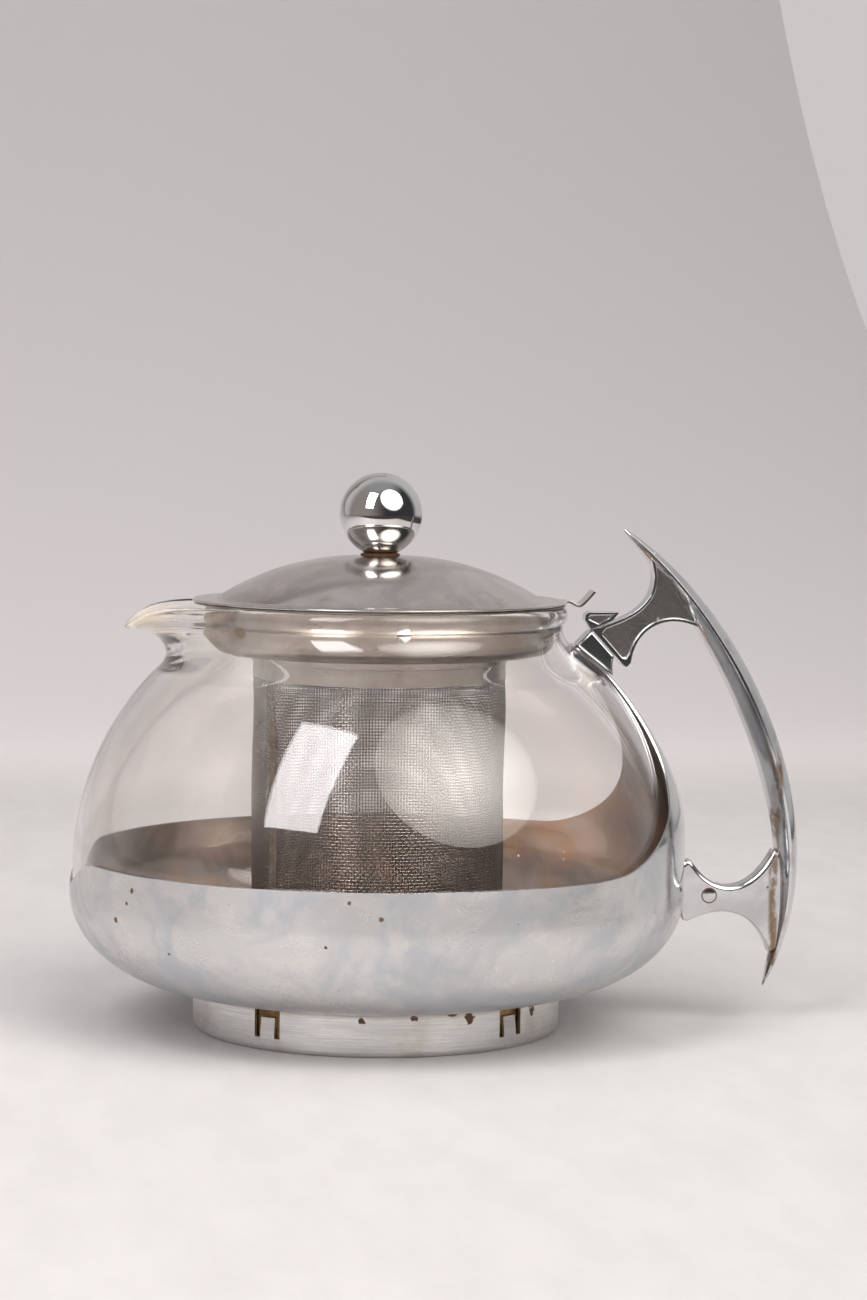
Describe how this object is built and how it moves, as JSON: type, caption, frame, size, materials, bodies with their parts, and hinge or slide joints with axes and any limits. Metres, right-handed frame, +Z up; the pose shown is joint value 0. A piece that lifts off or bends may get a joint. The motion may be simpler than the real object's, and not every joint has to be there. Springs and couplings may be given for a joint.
{
  "type": "glass teapot",
  "caption": "Round glass teapot in a plated metal holder with a bow-shaped handle, a lift-out woven infuser and a domed lid with a ball knob.",
  "frame": {"origin": "centre of the foot ring's contact circle, on the surface the pot stands on", "axes": "+Z up, +X towards the handle, -X towards the spout, -Y the front in the picture"},
  "size_m": [0.2024, 0.1692, 0.1525],
  "materials": {
    "glass": "clear blown glass with a light tea stain",
    "plated_shell": "hazy bright plate with small brown pits",
    "plated_foot": "satin plate with scratches and rust spots",
    "bare_brass": "tarnished",
    "plated_casting": "polished plate with light pits",
    "screw_steel": "plain",
    "infuser_steel": "satin with a brown tea film",
    "woven_wire": "fine woven wire",
    "lid_steel": "polished, warm and mottled",
    "mirror_ball": "mirror",
    "rusty_steel": "rust"
  },
  "bodies": {
    "root": {"glass_body": "glass", "holder_shell": "plated_shell", "foot_ring": "plated_foot", "foot_collar": "bare_brass", "handle": "plated_casting", "handle_saddle": "plated_casting", "saddle_screw": "screw_steel", "shell_lug": "screw_steel", "cross_pin": "plated_casting"},
    "infuser": {"infuser_collar": "infuser_steel", "infuser_band": "infuser_steel", "infuser_mesh": "woven_wire", "infuser_seam": "woven_wire", "infuser_floor": "woven_wire", "infuser_hoop": "infuser_steel"},
    "lid": {"lid_dome": "lid_steel", "lid_skirt": "infuser_steel", "lid_tab": "lid_steel", "lid_knob": "mirror_ball", "knob_seat": "rusty_steel", "knob_washer": "screw_steel", "knob_screw": "screw_steel"}
  },
  "joints": [
    {"name": "infuser_lift", "type": "slide", "parent": "root", "child": "infuser", "axis": [0, 0, 1], "range_m": [0, 0.11]},
    {"name": "lid_lift", "type": "slide", "parent": "infuser", "child": "lid", "axis": [0, 0, 1], "range_m": [0, 0.05]}
  ]
}
